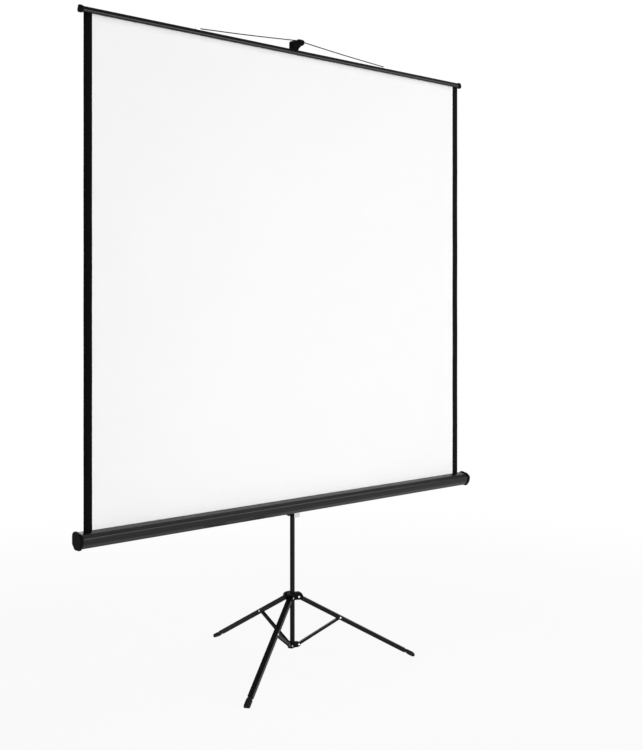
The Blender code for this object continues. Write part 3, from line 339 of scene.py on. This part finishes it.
def screenCloth(side):
    finish = clothFinish[side]
    values = {"Roughness": finish["roughness"], "IOR": 1.45, "Specular IOR Level": finish["shine"]}
    made, tree, shader, place = startMaterial(clothFinish["names"][side], values)
    warp = addBands(tree, place, clothFinish["thread"], clothFinish["distortion"], "X")
    weft = addBands(tree, place, clothFinish["thread"], clothFinish["distortion"], "Z")
    weave = addMath(tree, "MULTIPLY", warp, weft)
    coat = addNoise(tree, place, clothFinish["coat"], detail=2.0)
    colour = addBlend(tree, coat, finish["deep"], finish["pale"])
    connect(tree, shader, colour, normal=addRelief(tree, weave, clothFinish["relief"]))
    return made


# braided polyester cord: black, with faint slanting stripes of painted shade where its strands turn under
cordFinish = {
    "gap": "#050506",
    "strand": "#151516",
    "stripe": 2.4,  # draws stripes 30 mm apart along the cord
    "distortion": 1.5,
    "relief": (0.5, 0.0002),
}


def braidedCord():
    values = {"Roughness": 0.72, "Specular IOR Level": 0.2}
    made, tree, shader, place = startMaterial("braidedPolyester", values)
    braid = addBands(tree, place, cordFinish["stripe"], cordFinish["distortion"], "DIAGONAL")
    # the darker of the two colours is painted shade, laid in the gaps where the strands turn under
    colour = addBlend(tree, braid, cordFinish["gap"], cordFinish["strand"])
    connect(tree, shader, colour, normal=addRelief(tree, braid, cordFinish["relief"]))
    return made


finishes = {
    "black_painted_steel": powderCoat(),
    "black_painted_case": caseEnamel(),
    "black_plastic": mouldedNylon(),
    "black_rubber": feetRubber(),
    "zinc_plated_steel": zincPlate(),
    "roller_steel": galvanisedTube(),
    "grey_cord": braidedCord(),
}
clothSides = {side: screenCloth(side) for side in ("face", "border", "back")}
print("materials made:", len(finishes) + len(clothSides))

samePlace = 1e-6  # metres between points that count as one


def pieceName(node):
    parts = node.split("_")
    return parts[0] + "".join(p.title() for p in parts[1:])


def takeMesh(name, shape):
    mesh = bpy.data.meshes.new(name)
    shape.to_mesh(mesh)
    shape.free()
    return mesh


def finishPiece(shape, replaced, angle=35):
    bmesh.ops.recalc_face_normals(shape, faces=shape.faces)
    mesh = takeMesh(pieceName(replaced), shape)
    mesh.shade_smooth()
    mesh.set_sharp_from_angle(angle=math.radians(angle))
    mesh.materials.append(finishes[slotOf[replaced]])
    piece = placeObject(pieceName(replaced), mesh)
    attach(piece, bodyOf[replaced])
    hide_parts(replaced)
    return piece


def spinProfile(shape, profile, centre, steps):
    bmesh.ops.spin(
        shape, geom=profile, cent=centre, axis=(0, 0, 1), angle=2 * math.pi, steps=steps, use_merge=True
    )
    bmesh.ops.remove_doubles(shape, verts=shape.verts, dist=samePlace)


# rigid pieces keep their CAD shape and get the small edge radius that pressing, moulding or paint leaves
edgeRadius = {  # metres
    "leg": 0.0007,
    "brace": 0.0005,
    "mast_tube": 0.0004,
    "mast_foot": 0.0008,
    "tripod_hub": 0.0010,
    "hub_screw": 0.0008,
    "clamp_collar": 0.0007,
    "clamp_screw": 0.0008,
    "foot": 0.0012,
    "case_carrier": 0.0008,
    "release_lever": 0.0008,
    "case_saddle": 0.0004,
    "case_shell": 0.0002,
    "case_cap": 0.0004,
    "top_bar": 0.0002,
    "bar_cap": 0.0004,
    "cord_hook": 0.0010,
    "cord_lug": 0.0005,
}
edgeRule = {"merge": 2e-6, "flat": 1, "sharp": 40, "segments": 2}  # metres, degrees, degrees and a count


def softenEdges(node, width):
    shape = bmesh.new()
    shape.from_mesh(nodes[node].data)
    bmesh.ops.remove_doubles(shape, verts=shape.verts, dist=edgeRule["merge"])
    flatAngle = math.radians(edgeRule["flat"])
    bmesh.ops.dissolve_limit(shape, angle_limit=flatAngle, verts=shape.verts, edges=shape.edges)
    sharpAngle = math.radians(edgeRule["sharp"])
    sharp = [e for e in shape.edges if len(e.link_faces) == 2 and e.calc_face_angle() > sharpAngle]
    wear = shape.verts.layers.float.new("edgeWear")
    rounded = bmesh.ops.bevel(
        shape,
        geom=sharp,
        offset=width,
        segments=edgeRule["segments"],
        profile=0.5,
        affect="EDGES",
        clamp_overlap=True,
        material=-1,
    )
    strips = set(rounded["faces"])
    for vert in rounded["verts"]:  # worn along the crest of each rounded edge, and not on the flats beside it
        vert[wear] = float(strips.issuperset(vert.link_faces))
    flat = finishPiece(shape, node).modifiers.new("flatFaces", "WEIGHTED_NORMAL")
    flat.keep_sharp = True  # long faces stay flat, and only their rounded edges turn the light


softened = 0
for node in sorted(nodes):
    width = next((w for key, w in edgeRadius.items() if node == key or node.startswith(key + "_")), None)
    if width and "rivet" not in node:
        softenEdges(node, width)
        softened += 1
print("edges softened on", softened, "pieces")

# extension: drawn steel tube, rounder than the CAD facets, with a small radius at each end
extension = {"outer": 0.0080, "wall": 0.0012, "rim": 0.0004, "sides": 64}


def makeExtension():
    low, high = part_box("extension_tube")
    outer = extension["outer"]
    inner = outer - extension["wall"]
    shape = bmesh.new()
    corners = [(inner, low[2]), (outer, low[2]), (outer, high[2]), (inner, high[2])]
    ring = [shape.verts.new((mastX + r, mastY, z)) for r, z in corners]
    edges = [shape.edges.new((ring[i], ring[(i + 1) % 4])) for i in range(4)]
    spinProfile(shape, ring + edges, (mastX, mastY, 0), extension["sides"])
    level = [e for e in shape.edges if abs(e.verts[0].co.z - e.verts[1].co.z) < samePlace]
    rims = [e for e in level if e.calc_face_angle() > math.radians(edgeRule["sharp"])]
    bmesh.ops.bevel(
        shape,
        geom=rims,
        offset=extension["rim"],
        segments=edgeRule["segments"],
        profile=0.5,
        affect="EDGES",
        material=-1,
    )
    finishPiece(shape, "extension_tube")


makeExtension()
print("extension drawn")

# rivets: round heads with the small dimple that closing leaves
rivetSize = {
    "shank": 0.0025,
    "head": 0.0045,
    "rise": 0.0016,
    "dome": [(1, 0), (0.97, 0.35), (0.84, 0.7), (0.62, 0.92)],  # shares of the head's radius and of its rise
    "dimple": [(0.001625, 0), (0.00104, 0.0004), (0, 0.0005)],  # radius and depth, from its brim inwards
    "sides": 28,
    "smooth": 50,  # degrees
}


def makeRivet(node, centre, direction, reach):
    head, rise = rivetSize["head"], rivetSize["rise"]
    half = [(rivetSize["shank"], reach)]
    half += [(head * out, reach + rise * up) for out, up in rivetSize["dome"]]
    half += [(radius, reach + rise - depth) for radius, depth in rivetSize["dimple"]]
    shape = bmesh.new()
    line = [shape.verts.new((r, 0, h)) for r, h in [(r, -h) for r, h in reversed(half)] + half]
    edges = [shape.edges.new(pair) for pair in zip(line, line[1:])]
    spinProfile(shape, line + edges, (0, 0, 0), rivetSize["sides"])
    turn = Vector((0, 0, 1)).rotation_difference(direction).to_matrix().to_4x4()
    bmesh.ops.transform(shape, matrix=Matrix.Translation(centre) @ turn, verts=shape.verts)
    finishPiece(shape, node, angle=rivetSize["smooth"])


for kind in ("hub_rivet", "leg_rivet", "foot_rivet"):
    low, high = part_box(f"{kind}_rear")
    reach = (high[0] - low[0]) / 2 - rivetSize["rise"]
    for side, degrees in legAngles.items():
        a = math.radians(degrees)
        low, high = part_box(f"{kind}_{side}")
        centre = (Vector(low) + Vector(high)) / 2
        makeRivet(f"{kind}_{side}", centre, Vector((-math.sin(a), math.cos(a), 0)), reach)
print("rivets set")

# screen cloth: one coated sheet, white with black borders, black behind, drawn flat by the spring
cloth = {
    "width": 2.030,
    "border": 0.035,
    "low": 0.672,
    "high": 2.5492,
    "plane": mastY - 0.037,
    "thickness": 0.0005,
    "ripple": 0.0004,
    "halfWaves": 9,  # of the ripple, from the case to the bar
    "phases": (2, 1),  # radians, on the left and on the right
    "easeEnds": 0.7,  # powers that calm the ripple towards the case and the bar, and away from the sides
    "easeMiddle": 6,
    "columns": 70,
    "rows": 64,
    "snap": 1e-5,
    "travel": 1.07,  # how far the extension comes down
}


def makeCloth():
    height = cloth["high"] - cloth["low"]
    shape = bmesh.new()
    bmesh.ops.create_grid(shape, x_segments=cloth["columns"], y_segments=cloth["rows"], size=0.5)
    bmesh.ops.scale(shape, vec=(cloth["width"], height, 1), verts=shape.verts)
    bmesh.ops.rotate(shape, cent=(0, 0, 0), matrix=Matrix.Rotation(math.pi / 2, 3, "X"), verts=shape.verts)
    middle = (cloth["low"] + cloth["high"]) / 2
    bmesh.ops.translate(shape, vec=(0, cloth["plane"], middle), verts=shape.verts)
    edge = cloth["width"] / 2 - cloth["border"]
    for side in (-1, 1):
        bmesh.ops.bisect_plane(
            shape,
            geom=list(shape.verts) + list(shape.edges) + list(shape.faces),
            plane_co=(side * edge, 0, 0),
            plane_no=(1, 0, 0),
            dist=cloth["snap"],
        )
    for face in shape.faces:
        face.material_index = 1 if abs(face.calc_center_median().x) > edge else 0
    for vert in shape.verts:  # the free side edges wander a little between the bar and the case
        up = (vert.co.z - cloth["low"]) / height
        out = abs(vert.co.x) / (cloth["width"] / 2)
        calm = max(0, math.sin(math.pi * up)) ** cloth["easeEnds"] * out ** cloth["easeMiddle"]
        phase = cloth["phases"][1 if vert.co.x > 0 else 0]
        vert.co.y += cloth["ripple"] * calm * math.sin(cloth["halfWaves"] * math.pi * up + phase)
    mesh = takeMesh("screenCloth", shape)
    mesh.shade_smooth()
    for side in ("face", "border", "back"):
        mesh.materials.append(clothSides[side])
    piece = placeObject("screenCloth", mesh)
    body = piece.modifiers.new("thickness", "SOLIDIFY")
    body.thickness = cloth["thickness"]
    body.offset = 0
    body.material_offset = 2  # the back and the cut edges take the third material
    body.material_offset_rim = 2
    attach(piece, "carrier")
    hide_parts("screen_cloth")
    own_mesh(piece)


makeCloth()
print("cloth hung")

# cloth left on the roller: a strip wound outward, just small enough to clear the sheet as it turns
roll = {
    "axis": (mastY - 0.053, cloth["low"]),
    "radius": 0.0154,
    "turns": 1.25,
    "pitch": 0.0007,
    "steps": 60,
    "drop": 0.0003,  # how far below the sheet's lower end the strip stops
}


def makeRoll():
    y, z = roll["axis"]
    start = Vector((0, y, z))
    first = roll["radius"] - roll["turns"] * roll["pitch"]
    count = round(roll["turns"] * roll["steps"])
    begin = -math.asin(roll["drop"] / roll["radius"]) - 2 * math.pi * roll["turns"]
    half = cloth["width"] / 2
    shape = bmesh.new()
    beginY = y + first * math.cos(begin)
    beginZ = z + first * math.sin(begin)
    edge = shape.edges.new([shape.verts.new((x, beginY, beginZ)) for x in (-half, half)])
    turn = Matrix.Rotation(2 * math.pi * roll["turns"] / count, 4, "X")
    for k in range(count):
        grown = bmesh.ops.extrude_edge_only(shape, edges=[edge])["geom"]
        edge = next(g for g in grown if isinstance(g, bmesh.types.BMEdge))
        now = first + roll["pitch"] * roll["turns"] * k / count
        grow = (now + roll["pitch"] * roll["turns"] / count) / now
        around = Matrix.Translation(start) @ Matrix.Diagonal((1, grow, grow, 1)) @ turn
        bmesh.ops.transform(shape, matrix=around @ Matrix.Translation(-start), verts=list(edge.verts))
    mesh = takeMesh("clothRoll", shape)
    mesh.shade_smooth()
    mesh.materials.append(clothSides["back"])
    piece = placeObject("clothRoll", mesh)
    body = piece.modifiers.new("thickness", "SOLIDIFY")
    body.thickness = cloth["thickness"]
    body.offset = 0
    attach(piece, "roller")
    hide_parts("cloth_roll")


makeRoll()
print("roll wound")

# hanging cord: lug to lug over the hook's notch, kept nearly straight by the bar's weight and the spring
cord = {
    "radius": 0.0021,
    "end": 0.513,
    "seat": 0.013,
    "lowZ": 2.569,
    "topZ": 2.6034,
    "sag": 0.002,
    "plane": cloth["plane"],
    "steps": 16,
    "roundness": 4,
}


def makeCord():
    points = []
    for k in range(cord["steps"] + 1):
        t = k / cord["steps"]
        x = -cord["end"] + (cord["end"] - cord["seat"]) * t
        z = cord["lowZ"] + (cord["topZ"] - cord["lowZ"]) * t - cord["sag"] * math.sin(math.pi * t)
        points.append(Vector((x, cord["plane"], z)))
    points += [Vector((-p.x, p.y, p.z)) for p in reversed(points)]
    data = bpy.data.curves.new("hangingCord", "CURVE")
    data.dimensions = "3D"
    data.bevel_depth = cord["radius"]
    data.bevel_resolution = cord["roundness"]
    data.use_fill_caps = True
    line = data.splines.new("POLY")
    line.points.add(len(points) - 1)
    for place, point in zip(line.points, points):
        place.co = (*point, 1)
    data.materials.append(finishes["grey_cord"])
    piece = placeObject("hangingCord", data)
    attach(piece, "extension")
    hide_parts("hanging_cord")


makeCord()

for node in sorted(nodes):  # what is still a CAD node takes its finish too
    if not nodes[node].hide_render and slotOf[node] in finishes:
        nodes[node].data.materials.clear()
        nodes[node].data.materials.append(finishes[slotOf[node]])

# studio: pale floor, white walls under a dark ceiling, a large softbox to the right and weaker lamps
studio = {
    "white": "#ffffff",
    "floorSize": 60,
    "floorDrop": 0.0004,  # metres under the soles
    "floorColour": "#e8e8e8",
    "floorShare": (0.92, 1.0),  # share of plain white in what the camera sees of the floor, near and far
    "floorFade": (1.2, 4.0),  # metres from the stand
    "ambient": 0.58,
    "ceiling": (0.3, 0.7),  # sine of the height where it starts and ends
    "ceilingStrength": 0.1,
}
lamps = {
    "keyLamp": {"place": (5.4, -8.0, 4.6), "aim": (0, -0.15, 1.5), "size": (6.4, 5.4), "power": 364},
    "fillLamp": {"place": (-4.0, -8.0, 0.9), "aim": (0, -0.15, 1.0), "size": (4.0, 1.4), "power": 130},
    "lowLamp": {"place": (0.2, -4.4, 0.3), "aim": (0.1, -0.15, 0.8), "size": (2.4, 0.5), "power": 38},
    "backLamp": {"place": (1.6, 4.4, 3.2), "aim": (0, -0.1, 1.0), "size": (2.5, 2.5), "power": 70},
    "topLamp": {"place": (4.2, -1.0, 6.6), "aim": (4.2, -1.0, 0), "size": (7.0, 1.6), "power": 27},
}


def seenDirectly(tree):
    path = addNode(tree, "ShaderNodeLightPath").outputs
    mirrored = addMath(tree, "MAXIMUM", path["Is Camera Ray"], path["Is Glossy Ray"])
    return addMath(tree, "MAXIMUM", mirrored, path["Is Transmission Ray"])


def makeWorld():
    world = bpy.data.worlds.new("studioWorld")
    world.use_nodes = True
    bpy.context.scene.world = world
    tree = world.node_tree
    tree.nodes.clear()
    direction = addNode(tree, "ShaderNodeTexCoord").outputs["Generated"]
    height = addNode(tree, "ShaderNodeSeparateXYZ", links={"Vector": direction}).outputs["Z"]
    above = (1.0, studio["ceilingStrength"])
    fade = addRange(tree, height, above, studio["ceiling"], interpolation_type="SMOOTHSTEP")
    strength = addRange(tree, seenDirectly(tree), (studio["ambient"], 1.0))
    level = addMath(tree, "MULTIPLY", fade, strength)
    wall = addNode(tree, "ShaderNodeBackground", {"Color": linear(studio["white"])}, {"Strength": level})
    addNode(tree, "ShaderNodeOutputWorld", links={"Surface": wall.outputs["Background"]})


def makeFloor():
    shape = bmesh.new()
    bmesh.ops.create_grid(shape, x_segments=1, y_segments=1, size=studio["floorSize"] / 2)
    bmesh.ops.translate(shape, vec=(0, 0, -studio["floorDrop"]), verts=shape.verts)
    mesh = takeMesh("studioFloor", shape)
    floor = placeObject("studioFloor", mesh)
    made = bpy.data.materials.new("paleFloor")
    made.use_nodes = True
    tree = made.node_tree
    tree.nodes.clear()
    place = addNode(tree, "ShaderNodeTexCoord").outputs["Object"]
    away = addNode(tree, "ShaderNodeVectorMath", links={0: place}, operation="LENGTH").outputs["Value"]
    share = addRange(tree, away, studio["floorShare"], studio["floorFade"], interpolation_type="SMOOTHSTEP")
    seen = addMath(tree, "MULTIPLY", share, seenDirectly(tree))
    paint = addNode(tree, "ShaderNodeBsdfDiffuse", {"Color": linear(studio["floorColour"])})
    glow = addNode(tree, "ShaderNodeEmission", {"Color": linear(studio["white"]), "Strength": 1.0})
    layers = {0: seen, 1: paint.outputs["BSDF"], 2: glow.outputs["Emission"]}
    mix = addNode(tree, "ShaderNodeMixShader", links=layers)
    addNode(tree, "ShaderNodeOutputMaterial", links={"Surface": mix.outputs["Shader"]})
    mesh.materials.append(made)


def makeLamps():
    for name, lamp in lamps.items():
        data = bpy.data.lights.new(name, "AREA")
        data.shape = "RECTANGLE"
        data.size, data.size_y = lamp["size"]
        data.energy = lamp["power"]
        made = placeObject(name, data)
        made.location = lamp["place"]
        towards = Vector(lamp["aim"]) - Vector(lamp["place"])
        made.rotation_euler = towards.to_track_quat("-Z", "Y").to_euler()


bpy.context.scene.view_settings.view_transform = "Standard"
makeWorld()
makeFloor()
makeLamps()
print("studio lit")
